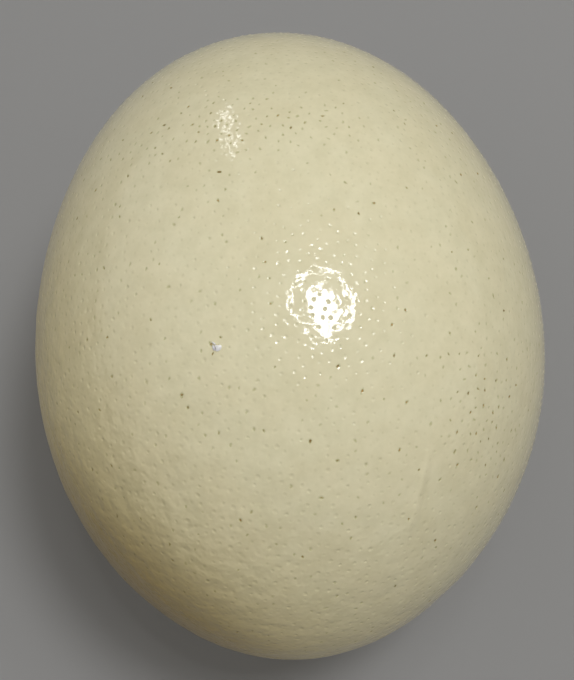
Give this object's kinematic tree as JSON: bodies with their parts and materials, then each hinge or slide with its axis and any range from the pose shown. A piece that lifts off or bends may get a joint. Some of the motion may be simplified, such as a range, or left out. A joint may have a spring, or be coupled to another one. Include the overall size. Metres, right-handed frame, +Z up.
{
  "type": "ostrich egg",
  "caption": "Whole ostrich egg lying on its side: a broad ivory oval shell, glossy and finely dimpled, with scattered brown pores, resting on a small flat spot.",
  "frame": {"origin": "on the surface the egg rests on, under the middle of its outline", "axes": "+Z up, +Y along the egg's long axis towards its slimmer half, +X across it"},
  "size_m": [0.124, 0.155, 0.1233],
  "materials": {
    "eggshell": "glossy ivory shell with shallow dimples and brown-stained pores"
  },
  "bodies": {
    "root": {"egg": "eggshell"}
  },
  "joints": []
}
